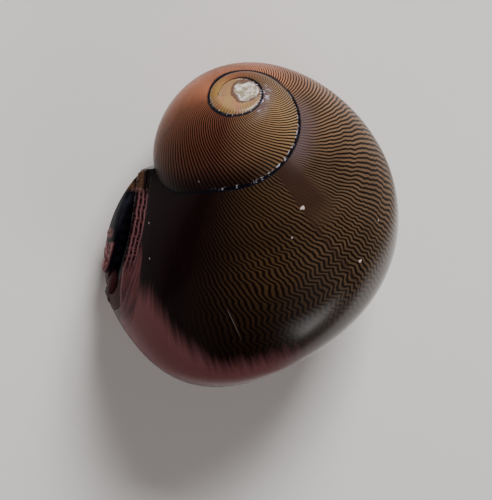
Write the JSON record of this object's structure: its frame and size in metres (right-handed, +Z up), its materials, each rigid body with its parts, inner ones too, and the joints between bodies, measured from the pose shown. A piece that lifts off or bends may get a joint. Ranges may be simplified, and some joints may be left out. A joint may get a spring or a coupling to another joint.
{
  "type": "nerite snail",
  "caption": "Olive nerite snail drawn back into its glossy coiled shell, lying on its base with the spire up and the mouth closed by its lid.",
  "frame": {"origin": "on the floor under the middle of the shell's bounding box", "axes": "+Z up from the floor; +Y towards the spire side of the shell, its longest way; the mouth faces -X; 1 unit is 1 metre in the packed row"},
  "size_m": [0.0222, 0.0242, 0.0163],
  "materials": {
    "shell": "glossy olive-brown shell with fine wavy near-black growth lines",
    "worn_shell": "worn whitish tan first whorl",
    "lip": "thin pinkish-brown flaking shell edge",
    "deck": "smooth blue-black callus with a pinkish-brown rim",
    "lid": "blue-black horny and chalky lid",
    "flesh": "moist dark flesh"
  },
  "bodies": {
    "root": {"shell_body_whorl": "shell", "shell_spire": "shell", "shell_apex": "worn_shell", "outer_lip": "lip", "columellar_deck": "deck", "operculum": "lid", "foot": "flesh"}
  },
  "joints": []
}
